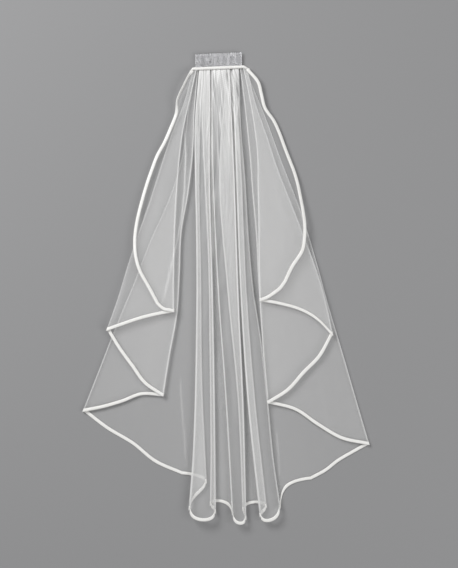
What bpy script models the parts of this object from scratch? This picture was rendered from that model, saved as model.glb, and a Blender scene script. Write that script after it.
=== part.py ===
"""Bridal veil laid out flat: gathered tulle, ribbon bound edge, shirred header band, wire comb.

Frame: the veil lies on its back on z = 0, comb towards +Y, origin at the bottom centre.
The tables measure in millimetres: across from the comb centre, drop from the comb base.
"""
import math
from collections import namedtuple

import bmesh
import bpy
import numpy as np

MM = 0.001

# Overall sizes, in millimetres.
CLOTH_WALL = 1.0
SEAM_GAP = 0.3
RIBBON_GAP = 0.35
STEEP_RIBBON_GAP = 0.9
LARGEST_RIBBON_GAP = 12.0
CLOSE_COLUMNS = 1.6
RIBBON_WIDTH = 6.35
CLOTH_TOP_DROP = 6.2
COMB_TILT = -0.04

# Height of one cloth layer at the comb, at mid length and at the hem.
LAYER_AT_COMB = 1.8
LAYER_AT_MIDDLE = 3.2
LAYER_AT_HEM = 4.2
MIDDLE_DROP = 300.0
HEM_DROP = 740.0

# Gathers that leave the header band and fade down the cloth.
GATHER_COUNT = 16
GATHER_HEIGHT = 1.1
GATHER_FADE = 55.0

# Comb and header band.
TOOTH_COUNT = 20
COMB_WIDTH = 76.7
TOOTH_TIP_DROP = -23.3
TOOTH_ROOT_DROP = 2.4
WIRE_DIAMETER = 1.0
SPINE_DIAMETER = 1.4
BAND_LEFT = -49.0
BAND_RIGHT = 52.0
BAND_TOP_DROP = -1.0
BAND_HEIGHT = 8.4
SLOT_DEPTH = 5.0
SLOT_LOW = 1.9
SLOT_HIGH = 5.3
TEETH_LEVEL = 4.45
SPINE_LEVEL = 2.95
SHIRR_COUNT = 24
SHIRR_DEPTH = 0.5

# Side edges: how far they bow outwards at every sixteenth of the way down.
LEFT_SIDE_BOW = (8.2, 15.2, 15.2, 20.9, 27.5, 36.5, 42.0, 46.6, 50.1, 52.8, 54.1, 52.8, 47.5, 36.5, 18.0)
RIGHT_SIDE_BOW = (10.2, 13.2, 14.9, 24.9, 32.2, 37.7, 42.1, 46.7, 49.2, 49.8, 50.0, 49.0, 44.8, 36.5, 16.0)

Fold = namedtuple("Fold", "name turn comb quarter half three_quarters hem_across hem_drop")
Stretch = namedtuple("Stretch", "name layer hem columns arch")

# Folds in order along the sheet from the left side edge to the right one.
# turn: which way the crease points; comb: across at the comb; quarter, half, three_quarters:
# sideways bow of the crease line; hem_across and hem_drop: where it meets the hem.
FOLDS = [
    Fold("left_edge", "edge", -47.5, 0.0, 0.0, 0.0, -104.0, 394.0),
    Fold("left_1", "right", -37.0, -12.0, -13.0, -7.5, -74.0, 408.0),
    Fold("left_2", "left", -43.5, 1.0, -0.5, -0.7, -187.0, 439.0),
    Fold("left_3", "right", -34.5, 3.5, 1.5, 8.0, -92.0, 548.0),
    Fold("left_4", "left", -40.0, 27.0, 19.0, 9.0, -227.0, 574.0),
    Fold("left_crease", "crease", -33.0, -3.0, -8.0, -8.0, -62.0, 681.0),
    Fold("flute_1_under", "right", -27.0, -7.2, -6.0, -6.0, -20.0, 693.3),
    Fold("flute_1_left", "left", -30.0, -2.6, 3.0, 5.0, -50.0, 737.2),
    Fold("flute_1_right", "right", -16.0, -1.5, 0.5, 1.0, -5.0, 743.3),
    Fold("valley_1", "left", -22.0, -2.5, 1.5, 2.0, -14.7, 730.2),
    Fold("flute_2_left", "step", -8.0, -9.0, -8.0, -2.5, 23.0, 746.5),
    Fold("flute_2_right", "right", 18.0, 1.5, 1.0, 2.5, 45.7, 753.3),
    Fold("valley_2", "left", 12.0, -18.0, -11.5, -1.0, 39.5, 739.5),
    Fold("flute_3_under", "right", 27.0, -2.0, -7.5, -6.5, 80.0, 734.2),
    Fold("flute_3_left", "left", 23.0, -5.0, -9.5, -8.5, 68.3, 748.8),
    Fold("flute_3_right", "step", 33.3, -7.5, -11.5, -5.4, 102.0, 735.3),
    Fold("right_crease", "crease", 38.0, 0.0, 0.0, 0.0, 154.0, 687.0),
    Fold("right_4", "right", 44.0, 12.0, 12.5, 4.5, 251.0, 629.0),
    Fold("right_3", "left", 35.5, 4.0, 4.0, -0.5, 81.0, 560.0),
    Fold("right_2", "right", 47.5, -3.0, 1.0, 6.5, 190.0, 447.0),
    Fold("right_1", "left", 40.5, 12.0, 11.5, 5.0, 68.0, 390.0),
    Fold("right_edge", "edge", 51.0, 0.0, 0.0, 0.0, 112.0, 358.0),
]

# Stretches of cloth between neighbouring folds. layer: how many layers lie under it; arch: flute
# height at the hem; hem: three numbers say how far it bows out at the quarters, four numbers are
# the handles of a curve, across and drop from its start and from its end.
STRETCHES = [
    Stretch("left_side", 4, (3.0, 4.0, 2.0), 7, 0.0),
    Stretch("left_second", 3, (-2.6, -3.4, -2.0), 6, 0.0),
    Stretch("left_third", 2, (5.5, 8.0, 10.0), 6, 0.0),
    Stretch("left_fourth", 1, (-8.4, -3.0, 0.0), 7, 0.0),
    Stretch("back_left", 0, (4.0, 2.5, 6.5), 9, 0.0),
    Stretch("back_left_inner", 0, (15.0, -2.0, 0.0, -9.0), 5, 0.0),
    Stretch("flute_1_tuck", 1, (0.0, 13.0, 0.0, -22.0), 4, 0.0),
    Stretch("flute_1", 2, (0.0, 26.0, 0.0, 21.0), 8, 7.0),
    Stretch("flute_1_return", 1, (0.0, -7.0, 0.0, 5.0), 1, 0.0),
    Stretch("back_centre", 0, (0.0, -10.0, 0.0, -24.0), 6, 0.0),
    Stretch("flute_2", 2, (0.0, 20.0, 0.0, 12.0), 8, 5.0),
    Stretch("flute_2_return", 1, (0.0, -7.0, 0.0, 5.0), 1, 0.0),
    Stretch("back_right_centre", 0, (0.0, -17.0, 0.0, -9.0), 7, 0.0),
    Stretch("flute_3_tuck", 1, (0.0, 7.0, 0.0, -7.0), 2, 0.0),
    Stretch("flute_3", 2, (0.0, 15.0, 0.0, 25.0), 8, 4.0),
    Stretch("back_right_inner", 0, (0.0, -34.0, -38.0, 4.0), 7, 0.0),
    Stretch("back_right", 0, (1.5, -1.5, -1.0), 8, 0.0),
    Stretch("right_fourth", 1, (8.5, 3.0, -6.0), 8, 0.0),
    Stretch("right_third", 2, (10.0, 9.5, 10.0), 6, 0.0),
    Stretch("right_second", 3, (-12.0, -14.5, -9.0), 6, 0.0),
    Stretch("right_side", 4, (3.5, 4.5, 4.0), 7, 0.0),
]

# Each solid covers the stretches from first to last; the folds between them are in it.
LEFT_CASCADE = (0, 3)
BACK_AND_FLUTES = (4, 16)
RIGHT_CASCADE = (17, 20)

# How far down each row of the cloth grid lies, as a share of the way to the hem.
CLOTH_ROWS = (0.0, 0.03, 0.0625, 0.095, 0.125, 0.1875, 0.25, 0.32, 0.41, 0.52, 0.64, 0.76, 0.86, 0.94, 1.0)
TURN_ANGLES = (-90.0, -30.0, 30.0, 90.0)


def smooth(value):
    value = min(max(value, 0.0), 1.0)
    return value * value * (3.0 - 2.0 * value)


def layer_height(drop):
    """Height from one layer to the next at this drop."""
    upper = LAYER_AT_COMB + (LAYER_AT_MIDDLE - LAYER_AT_COMB) * smooth(drop / MIDDLE_DROP)
    lower = (LAYER_AT_HEM - LAYER_AT_MIDDLE) * smooth((drop - MIDDLE_DROP) / (HEM_DROP - MIDDLE_DROP))
    return upper + lower


def comb_point(across):
    return np.array([across, CLOTH_TOP_DROP + COMB_TILT * across])


def bow_along(bows, share):
    """Smooth curve through zero, the evenly spaced bows, and zero."""
    values = (0.0,) + tuple(bows) + (0.0,)
    last = len(values) - 1
    place = min(max(share, 0.0), 1.0) * last
    index = min(int(place), last - 1)
    local = place - index
    before = values[index - 1] if index else 2.0 * values[0] - values[1]
    after = values[index + 2] if index < last - 1 else 2.0 * values[last] - values[last - 1]
    start, end = values[index], values[index + 1]
    lift = 0.5 * (end - before)
    fall = 0.5 * (after - start)
    cube, square = local ** 3, local ** 2
    return ((2 * cube - 3 * square + 1) * start + (cube - 2 * square + local) * lift
            + (3 * square - 2 * cube) * end + (cube - square) * fall)


def bowed_line(start, end, bows, share):
    """Point on a line bowed away from the comb by the given amounts."""
    start, end = np.array(start, float), np.array(end, float)
    along = (end - start) / np.linalg.norm(end - start)
    outward = np.array([-along[1], along[0]])
    if np.dot(outward, (start + end) / 2.0) < 0.0:
        outward = -outward
    return start + (end - start) * share + outward * bow_along(bows, share)


def hem_point(index, share):
    """Point on the hem of one stretch."""
    first, last, hem = FOLDS[index], FOLDS[index + 1], STRETCHES[index].hem
    start, end = (first.hem_across, first.hem_drop), (last.hem_across, last.hem_drop)
    if len(hem) == 3:
        return bowed_line(start, end, hem, share)
    start, end = np.array(start), np.array(end)
    near, far = start + np.array(hem[:2]), end + np.array(hem[2:])
    rest = 1.0 - share
    return (rest ** 3 * start + 3.0 * rest ** 2 * share * near
            + 3.0 * rest * share ** 2 * far + share ** 3 * end)


def crease_bows(fold):
    return (fold.quarter, fold.half, fold.three_quarters)


def crease_across(fold, drop):
    """Across of a crease line at a given drop."""
    top = comb_point(fold.comb)
    share = (drop - top[1]) / (fold.hem_drop - top[1])
    share = min(max(share, 0.0), 1.0)
    line = fold.comb + (fold.hem_across - fold.comb) * share
    return line + bow_along(crease_bows(fold), share)


def crease_point(fold, share):
    top = comb_point(fold.comb)
    hem = np.array([fold.hem_across, fold.hem_drop])
    point = top + (hem - top) * share
    point[0] += bow_along(crease_bows(fold), share)
    return point


def side_edge(left, share):
    """Point on a free side edge, from the comb down to its lower corner."""
    fold = FOLDS[0] if left else FOLDS[-1]
    bows = LEFT_SIDE_BOW if left else RIGHT_SIDE_BOW
    return bowed_line(comb_point(fold.comb), (fold.hem_across, fold.hem_drop), bows, share)


def gather(across, drop):
    """Height of the gathers at a place; they fan out with the cloth and fade."""
    left = crease_across(FOLDS[4], drop)
    right = crease_across(FOLDS[17], drop)
    place = (across - left) / (right - left)
    calm = smooth((place - 0.06) / 0.08) * smooth((0.94 - place) / 0.08)
    fade = math.exp(-max(drop - CLOTH_TOP_DROP, 0.0) / GATHER_FADE)
    wave = 0.5 - 0.5 * math.cos(2.0 * math.pi * GATHER_COUNT * place)
    return GATHER_HEIGHT * fade * calm * wave


def past_fold(fold, left, across, drop):
    """How far outside a fold a place lies."""
    return (1.0 if left else -1.0) * (crease_across(fold, drop) - across)


def sink(index, across, drop):
    """Layers lost where the folds under a stretch end."""
    near_comb = smooth(drop / 90.0)
    past_left_4 = past_fold(FOLDS[4], True, across, drop)
    if index == 0:
        past = past_fold(FOLDS[2], True, across, drop)
        return near_comb * (1.5 * smooth((past_left_4 - 3.0) / 30.0) + 1.3 * smooth((past - 3.0) / 24.0))
    if index in (1, 2):
        return near_comb * 1.5 * smooth((past_left_4 - 3.0) / 30.0)
    if index == len(STRETCHES) - 1:
        second = past_fold(FOLDS[19], False, across, drop)
        fourth = past_fold(FOLDS[17], False, across, drop)
        return near_comb * (1.4 * smooth((second - 3.0) / 24.0) + 1.2 * smooth((fourth - 3.0) / 24.0))
    return 0.0


def height(index, across, drop, share, down):
    """Height of the middle of the wall."""
    stretch = STRETCHES[index]
    layer = stretch.layer - sink(index, across, drop)
    arch = stretch.arch * math.sin(math.pi * share) * smooth(down)
    return CLOTH_WALL / 2.0 + layer * layer_height(drop) + arch + gather(across, drop)


def binding_length(index, share):
    """Length of the binding measured along the cloth, longer where the hem runs aslant."""
    edge = 0.03
    before = hem_point(index, max(share - edge, 0.0))
    after = hem_point(index, min(share + edge, 1.0))
    tangent = (after - before) / np.linalg.norm(after - before)
    hem = hem_point(index, share)
    near = ray_point(index, share, 0.97)
    ray = (hem - near) / np.linalg.norm(hem - near)
    slant = abs(ray[0] * tangent[1] - ray[1] * tangent[0])
    return RIBBON_WIDTH / max(slant, 0.7)


def column_binding(column):
    kind, index, value = column
    if kind in ("flat", "seam"):
        return binding_length(index, value)
    before, after = max(index - 1, 1), min(index, len(STRETCHES) - 2)
    return 0.5 * (binding_length(before, 1.0) + binding_length(after, 0.0))


def binding_lengths(columns):
    """Binding length at every column, evened out along the hem."""
    lengths = [column_binding(column) for column in columns]
    for _ in range(3):
        padded = [lengths[0]] + lengths + [lengths[-1]]
        lengths = [(a + 2.0 * b + c) / 4.0 for a, b, c in zip(padded, padded[1:], padded[2:])]
    return lengths


def ray_point(index, share, down):
    """Point of a stretch: share across it and down from the comb to the hem."""
    first, last = FOLDS[index], FOLDS[index + 1]
    top = comb_point(first.comb + (last.comb - first.comb) * share)
    start, end = np.array([first.hem_across, first.hem_drop]), np.array([last.hem_across, last.hem_drop])
    chord = start + (end - start) * share
    point = top + (chord - top) * down + (hem_point(index, share) - chord) * down ** 5
    near, far = np.array(crease_bows(first)), np.array(crease_bows(last))
    point[0] += bow_along(near + (far - near) * share, down)
    return point


def turn_side(fold):
    return {"right": 1.0, "left": -1.0}.get(fold.turn, 0.0)


def turn_radius(fold_index, drop):
    fold = FOLDS[fold_index]
    if turn_side(fold) == 0.0:
        return 0.0
    return 0.5 * layer_height(drop)


def flat_vertex(index, share, down):
    """Point of a flat stretch, drawn in by the radius of the turns beside it."""
    point = ray_point(index, share, down)
    for fold_index, weight, side in ((index, 1.0 - share, -1.0), (index + 1, share, 1.0)):
        radius = turn_radius(fold_index, point[1])
        point[0] -= turn_side(FOLDS[fold_index]) * radius * weight
        if FOLDS[fold_index].turn == "step":
            point[0] -= side * step_run(point[1]) / 2.0 * weight
    level = height(index, point[0], point[1], share, down)
    return (point[0], point[1], level)


def turn_vertex(fold_index, angle, down):
    """Point on the rounded turn of a fold."""
    point = crease_point(FOLDS[fold_index], down)
    side = turn_side(FOLDS[fold_index])
    radius = turn_radius(fold_index, point[1])
    across = point[0] - side * radius
    before = height(fold_index - 1, across, point[1], 1.0, down)
    after = height(fold_index, across, point[1], 0.0, down)
    middle, swing = (before + after) / 2.0, (after - before) / 2.0
    turn = math.radians(angle)
    return (across + side * radius * math.cos(turn), point[1], middle + swing * math.sin(turn))


def step_run(drop):
    return 0.5 * layer_height(drop)


def step_vertex(fold_index, share, down):
    """Point on an upright step between two stretches that do not double back."""
    point = crease_point(FOLDS[fold_index], down)
    before = height(fold_index - 1, point[0], point[1], 1.0, down)
    after = height(fold_index, point[0], point[1], 0.0, down)
    level = before + (after - before) * smooth(share)
    return (point[0] + step_run(point[1]) * (share - 0.5), point[1], level)


def side_vertex(index, share, down, width):
    """Point of a side stretch: a patch between its free edge, its fold, the comb and the tip."""
    left = index == 0
    fold_index = 1 if left else len(FOLDS) - 2
    fold = FOLDS[fold_index]
    edge_share = 1.0 - share if left else share
    edge = side_edge(left, down) + side_inward(left, down) * width
    corner = side_edge(left, 1.0) + side_inward(left, 1.0) * width
    tip = np.array([fold.hem_across, fold.hem_drop]) + tip_inward(left, 1.0) * width
    tip[0] -= turn_side(fold) * turn_radius(fold_index, fold.hem_drop)
    cut = down * (1.0 - width / np.linalg.norm(tip - comb_point(fold.comb)))
    crease = crease_point(fold, cut)
    crease[0] -= turn_side(fold) * turn_radius(fold_index, crease[1])
    bottom = side_bottom(left, edge_share, width)
    bottom_line = corner * edge_share + tip * (1.0 - edge_share)
    point = edge * edge_share + crease * (1.0 - edge_share) + (bottom - bottom_line) * down
    level = height(index, point[0], point[1], 0.5, down)
    return (point[0], point[1], level)


def side_inward(left, down):
    """Direction from a free side edge into the cloth, square to the edge."""
    step = 0.01
    before = side_edge(left, max(down - step, 0.0))
    after = side_edge(left, min(down + step, 1.0))
    along = (after - before) / np.linalg.norm(after - before)
    return np.array([along[1], -along[0]]) if left else np.array([-along[1], along[0]])


def tip_inward(left, toward_tip):
    """Direction from the lower edge of a side stretch into the cloth."""
    fold = FOLDS[1] if left else FOLDS[-2]
    hem = crease_point(fold, 1.0)
    ray = crease_point(fold, 0.95) - hem
    ray = ray / np.linalg.norm(ray)
    blend = side_inward(left, 1.0) * (1.0 - toward_tip) + ray * toward_tip
    return blend / np.linalg.norm(blend)


def side_bottom(left, edge_share, width):
    """Lower edge of a side stretch, moved in by the binding width."""
    index = 0 if left else len(STRETCHES) - 1
    share = 1.0 - edge_share if left else edge_share
    point = hem_point(index, share) + tip_inward(left, 1.0 - edge_share) * width
    fold_index = 1 if left else len(FOLDS) - 2
    radius = turn_radius(fold_index, point[1])
    point[0] -= turn_side(FOLDS[fold_index]) * radius * (1.0 - edge_share)
    return point


def column_list(first, last):
    """Columns of one solid: flat ones, turns and steps, in order along the sheet."""
    columns = []
    for index in range(first, last + 1):
        count = STRETCHES[index].columns
        opens = 0.0 if index == first else 1.0 / (count + 1)
        closes = 1.0 if index == last else count / (count + 1.0)
        if index > first:
            columns += fold_columns(index)
        steps = count + (index == first) + (index == last)
        for number in range(steps):
            share = opens + (closes - opens) * number / max(steps - 1, 1)
            columns.append(("flat", index, share))
    return columns


def fold_columns(fold_index):
    kind = FOLDS[fold_index].turn
    if kind == "crease":
        return [("flat", fold_index, 0.0)]
    if kind == "step":
        return [("step", fold_index, share) for share in (0.0, 0.5, 1.0)]
    return [("turn", fold_index, angle) for angle in TURN_ANGLES]


def gaps_beside(points):
    """Gap along the cloth that keeps cloth and binding apart, larger where the hem is steep."""
    steep = []
    for first, second in zip(points, points[1:]):
        run, fall = abs(second[0] - first[0]), abs(second[1] - first[1])
        length = math.hypot(run, fall)
        steep.append(run / length if length > 0.2 else 1.0)
    steep = [steep[0]] + steep + [steep[-1]]
    gaps = []
    for number, point in enumerate(points):
        share = max(min(steep[number], steep[number + 1]), 0.01)
        gap = (RIBBON_GAP * share + STEEP_RIBBON_GAP * (1.0 - share)) / share
        near = points[max(number - 8, 0):number + 9]
        beside = [other[1] for other in near if abs(other[0] - point[0]) < CLOSE_COLUMNS]
        higher = point[1] - min(beside) + RIBBON_GAP
        gaps.append(min(max(gap, higher), LARGEST_RIBBON_GAP))
    return gaps


def column_vertex(column, down, width, taken):
    """Point of a column; down runs from the comb to the hem less the length taken off there."""
    kind, index, value = column
    if kind == "flat" and index in (0, len(STRETCHES) - 1):
        return side_vertex(index, value, down, width)
    top = comb_point(FOLDS[index].comb)
    hem = hem_point(min(index, len(STRETCHES) - 1), value if kind in ("flat", "seam") else 0.0)
    shorter = down * (1.0 - taken / np.linalg.norm(hem - top))
    if kind == "flat":
        return flat_vertex(index, value, shorter)
    if kind == "seam":
        across, drop, level = flat_vertex(index, value, shorter)
        fold = FOLDS[index + 1] if value > 0.5 else FOLDS[index]
        return (across - turn_side(fold) * (SEAM_GAP + 0.1), drop, level)
    if kind == "turn":
        return turn_vertex(index, value, shorter)
    return step_vertex(index, value, shorter)


def sheet_object(name, rows, wall):
    """Open grid with the given rows of points, given a wall by Solidify."""
    mesh = bpy.data.meshes.new(name)
    shape = bmesh.new()
    across, down = len(rows[0]), len(rows)
    bmesh.ops.create_grid(shape, x_segments=across - 1, y_segments=down - 1, size=1.0)
    shape.verts.ensure_lookup_table()
    for number, vertex in enumerate(shape.verts):
        row, column = divmod(number, across)
        x, drop, z = rows[row][column]
        vertex.co = (x * MM, -drop * MM, z * MM)
    shape.to_mesh(mesh)
    shape.free()
    item = bpy.data.objects.new(name, mesh)
    VEIL.objects.link(item)
    solid = item.modifiers.new("wall", "SOLIDIFY")
    solid.thickness = wall * MM
    solid.offset = 0.0
    solid.use_even_offset = False
    return item


def cloth_object(name, span, material):
    first, last = span
    columns = column_list(first, last)
    columns = trimmed(columns, first, last)
    width = RIBBON_WIDTH + RIBBON_GAP
    lengths = binding_lengths(columns)
    edge = [column_vertex(column, 1.0, width, cut) for column, cut in zip(columns, lengths)]
    taken = [length + gap for length, gap in zip(lengths, gaps_beside(edge))]
    rows = []
    for down in CLOTH_ROWS:
        rows.append([column_vertex(column, down, width, cut) for column, cut in zip(columns, taken)])
    item = sheet_object(name, rows, CLOTH_WALL)
    item.data.materials.append(material)
    return item


def trimmed(columns, first, last):
    """The back takes the turns it shares with the cascades; a cascade stops short of them."""
    if first == BACK_AND_FLUTES[0]:
        return fold_columns(first) + columns[1:-1] + fold_columns(last + 1)
    ends = list(columns)
    if first > BACK_AND_FLUTES[0]:
        ends[0] = ("seam", first, 0.0)
    if last < BACK_AND_FLUTES[0]:
        ends[-1] = ("seam", last, 1.0)
    return ends


def ribbon_object(name, span, material):
    """Binding strip along the hem and, on a cascade, up its free side edge."""
    first, last = span
    columns = trimmed(column_list(first, last), first, last)
    taken = binding_lengths(columns)
    outer = [column_vertex(column, 1.0, 0.0, 0.0) for column in columns]
    inner = [column_vertex(column, 1.0, RIBBON_WIDTH, cut) for column, cut in zip(columns, taken)]
    shares = CLOTH_ROWS[:-1]
    if first == 0:
        outer = [side_vertex(0, 0.0, share, 0.0) for share in shares] + outer
        inner = [side_vertex(0, 0.0, share, RIBBON_WIDTH) for share in shares] + inner
    if last == len(STRETCHES) - 1:
        back = shares[::-1]
        outer = outer + [side_vertex(last, 1.0, share, 0.0) for share in back]
        inner = inner + [side_vertex(last, 1.0, share, RIBBON_WIDTH) for share in back]
    item = sheet_object(name, [inner, outer], CLOTH_WALL)
    item.data.materials.append(material)
    return item


def tilted(across, drop, level):
    return (across * MM, -(drop + COMB_TILT * across) * MM, level * MM)


def band_object(material):
    """Shirred band: a channel, open towards the teeth, that holds the roots of the comb."""
    mesh = bpy.data.meshes.new("header_band")
    item = bpy.data.objects.new("header_band", mesh)
    VEIL.objects.link(item)
    low = CLOTH_TOP_DROP - SEAM_GAP
    profile = [
        (BAND_TOP_DROP, 0.5), (BAND_TOP_DROP + 0.6, 0.0), (low - 0.8, 0.0), (low, 0.9),
        (low, BAND_HEIGHT - 1.4), (low - 1.2, BAND_HEIGHT), (BAND_TOP_DROP + 1.2, BAND_HEIGHT),
        (BAND_TOP_DROP, BAND_HEIGHT - 1.0), (BAND_TOP_DROP, SLOT_HIGH),
        (BAND_TOP_DROP + SLOT_DEPTH, SLOT_HIGH), (BAND_TOP_DROP + SLOT_DEPTH, SLOT_LOW),
        (BAND_TOP_DROP, SLOT_LOW),
    ]
    shape = bmesh.new()
    stations = 2 * SHIRR_COUNT + 1
    bmesh.ops.create_circle(shape, cap_ends=True, segments=len(profile), radius=1.0)
    shape.verts.ensure_lookup_table()
    for vertex, (drop, level) in zip(shape.verts, profile):
        vertex.co = tilted(BAND_LEFT, drop, level)
    shape.faces.ensure_lookup_table()
    face = shape.faces[0]
    for number in range(1, stations):
        across = BAND_LEFT + (BAND_RIGHT - BAND_LEFT) * number / (stations - 1.0)
        grown = bmesh.ops.extrude_discrete_faces(shape, faces=[face])
        face = grown["faces"][0]
        shirr = SHIRR_DEPTH * (number % 2)
        for loop, (drop, level) in zip(face.loops, profile):
            top = level - shirr if level > SLOT_HIGH + 0.5 else level
            loop.vert.co = tilted(across, drop, top)
    open_edges = [edge for edge in shape.edges if edge.is_boundary]
    bmesh.ops.holes_fill(shape, edges=open_edges, sides=len(profile))
    bmesh.ops.recalc_face_normals(shape, faces=shape.faces)
    shape.to_mesh(mesh)
    shape.free()
    item.data.materials.append(material)
    return item


def wire_object(name, points, diameter, material):
    """Round wire along a list of points."""
    curve = bpy.data.curves.new(name, "CURVE")
    curve.dimensions = "3D"
    curve.bevel_depth = diameter / 2.0 * MM
    curve.bevel_resolution = 2
    curve.use_fill_caps = True
    spline = curve.splines.new("POLY")
    spline.points.add(len(points) - 1)
    for target, point in zip(spline.points, points):
        target.co = (*tilted(*point), 1.0)
    curve.materials.append(material)
    item = bpy.data.objects.new(name, curve)
    VEIL.objects.link(item)
    return item


def teeth_points():
    """Path of the one wire that makes all the looped teeth."""
    pitch = (COMB_WIDTH - WIRE_DIAMETER) / (TOOTH_COUNT - 0.5)
    turn = pitch / 4.0
    left = -(COMB_WIDTH - WIRE_DIAMETER) / 2.0
    points = []
    for number in range(TOOTH_COUNT):
        near = left + pitch * number
        tip = TOOTH_TIP_DROP + WIRE_DIAMETER / 2.0 + turn
        root = TOOTH_ROOT_DROP - turn
        for angle in (180.0, 120.0, 60.0, 0.0):
            x = near + turn + turn * math.cos(math.radians(angle))
            points.append((x, tip - turn * math.sin(math.radians(angle)), TEETH_LEVEL))
        if number < TOOTH_COUNT - 1:
            for angle in (180.0, 120.0, 60.0, 0.0):
                x = near + 3.0 * turn + turn * math.cos(math.radians(angle))
                points.append((x, root + turn * math.sin(math.radians(angle)), TEETH_LEVEL))
    ends = [(points[0][0], TOOTH_ROOT_DROP, TEETH_LEVEL)]
    return ends + points + [(points[-1][0], TOOTH_ROOT_DROP, TEETH_LEVEL)]


def surface_material(name, colour, roughness, metallic=0.0, alpha=1.0):
    material = bpy.data.materials.new(name)
    material.use_nodes = True
    shader = material.node_tree.nodes["Principled BSDF"]
    shader.inputs["Base Color"].default_value = (*colour, 1.0)
    shader.inputs["Roughness"].default_value = roughness
    shader.inputs["Metallic"].default_value = metallic
    shader.inputs["Alpha"].default_value = alpha
    return material


def settle():
    """Turn curves and modifiers into meshes and put the origin at the bottom centre."""
    depsgraph = bpy.context.evaluated_depsgraph_get()
    low, high = np.full(3, 1e9), np.full(3, -1e9)
    finished = []
    for item in list(VEIL.objects):
        mesh = bpy.data.meshes.new_from_object(item.evaluated_get(depsgraph))
        finished.append((item, mesh))
        for vertex in mesh.vertices:
            low = np.minimum(low, vertex.co)
            high = np.maximum(high, vertex.co)
    shift = np.array([(low[0] + high[0]) / 2.0, (low[1] + high[1]) / 2.0, low[2]])
    for item, mesh in finished:
        name = item.name
        bpy.data.objects.remove(item)
        for vertex in mesh.vertices:
            vertex.co = np.array(vertex.co) - shift
        VEIL.objects.link(bpy.data.objects.new(name, mesh))


for old in list(bpy.data.objects):
    bpy.data.objects.remove(old)
VEIL = bpy.data.collections.new("bridal_veil")
bpy.context.scene.collection.children.link(VEIL)

TULLE = surface_material("white_tulle", (0.93, 0.93, 0.92), 0.85, alpha=0.6)
SATIN = surface_material("ivory_satin", (0.92, 0.9, 0.85), 0.35)
BAND_SATIN = surface_material("band_satin", (0.94, 0.93, 0.9), 0.4)
TEETH_WIRE = surface_material("silver_wire", (0.8, 0.8, 0.82), 0.2, metallic=1.0)
SPINE_WIRE = surface_material("silver_rod", (0.75, 0.75, 0.77), 0.25, metallic=1.0)

cloth_object("tulle_left_cascade", LEFT_CASCADE, TULLE)
cloth_object("tulle_back", BACK_AND_FLUTES, TULLE)
cloth_object("tulle_right_cascade", RIGHT_CASCADE, TULLE)
ribbon_object("ribbon_left", LEFT_CASCADE, SATIN)
ribbon_object("ribbon_hem", BACK_AND_FLUTES, SATIN)
ribbon_object("ribbon_right", RIGHT_CASCADE, SATIN)
band_object(BAND_SATIN)
wire_object("comb_teeth", teeth_points(), WIRE_DIAMETER, TEETH_WIRE)
spine_half = COMB_WIDTH / 2.0 + 1.0
spine_drop = TOOTH_ROOT_DROP - 1.2
spine_path = [(-spine_half, spine_drop, SPINE_LEVEL), (spine_half, spine_drop, SPINE_LEVEL)]
wire_object("comb_spine", spine_path, SPINE_DIAMETER, SPINE_WIRE)
settle()
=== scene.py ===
import math
from collections import namedtuple

import bmesh
import bpy
import numpy as np
from mathutils import Matrix, Vector, noise


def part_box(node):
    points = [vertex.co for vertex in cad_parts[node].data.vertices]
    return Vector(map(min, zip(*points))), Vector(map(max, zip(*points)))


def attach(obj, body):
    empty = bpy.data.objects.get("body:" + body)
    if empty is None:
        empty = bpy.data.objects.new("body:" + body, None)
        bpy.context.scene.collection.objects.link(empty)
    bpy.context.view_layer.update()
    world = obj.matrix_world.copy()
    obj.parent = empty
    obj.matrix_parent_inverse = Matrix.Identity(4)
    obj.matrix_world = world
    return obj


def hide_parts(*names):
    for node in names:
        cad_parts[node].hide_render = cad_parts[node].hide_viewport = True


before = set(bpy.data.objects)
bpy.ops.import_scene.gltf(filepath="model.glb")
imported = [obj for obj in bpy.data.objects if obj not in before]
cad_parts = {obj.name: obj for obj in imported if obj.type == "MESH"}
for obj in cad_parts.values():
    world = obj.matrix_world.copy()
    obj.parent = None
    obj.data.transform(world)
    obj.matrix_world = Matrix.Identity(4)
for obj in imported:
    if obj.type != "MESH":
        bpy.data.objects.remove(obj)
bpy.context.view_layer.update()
print("frame loaded")

mm = 0.001

# How the cloth lies, in millimetres: across from the comb centre, drop from the comb base
clothLayout = {
    "clothTopDrop": 4.2,  # where the cloth leaves the band
    "combTilt": -0.04,  # the comb lies a little askew
    "wallLevel": 0.5,  # the lowest layer above the floor
    "layerAtComb": 1.8,  # height of one layer at the comb, half way and at the hem
    "layerAtMiddle": 3.2,
    "layerAtHem": 4.2,
    "middleDrop": 300.0,
    "hemDrop": 740.0,
    # outward bow of each side edge at its sixteenths
    "leftSideBow": (8.2, 15.2, 15.2, 20.9, 27.5, 36.5, 42.0, 46.6,
                    50.1, 52.8, 54.1, 52.8, 47.5, 36.5, 18.0),
    "rightSideBow": (12.8, 15.0, 17.0, 27.5, 33.6, 37.7, 42.1, 46.7,
                     49.2, 49.8, 50.0, 49.0, 44.8, 36.5, 16.0),
    "ribbonWidth": 5.1,
    "ribbonStart": (1.2, 2.2),  # below the cloth's top, left and right
    "narrowing": 0.52,  # share of its width that the standing left ribbon hides
    "narrowStart": 0.02,  # shares of the side edge where it stands up and lies down again
    "narrowEnd": 0.13,
    "narrowFade": 0.06,
}

fold = namedtuple("fold", "name turn comb bows hemAcross hemDrop shine")
stretch = namedtuple("stretch", "name layer hem combStep hemStep arch fullness")

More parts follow.
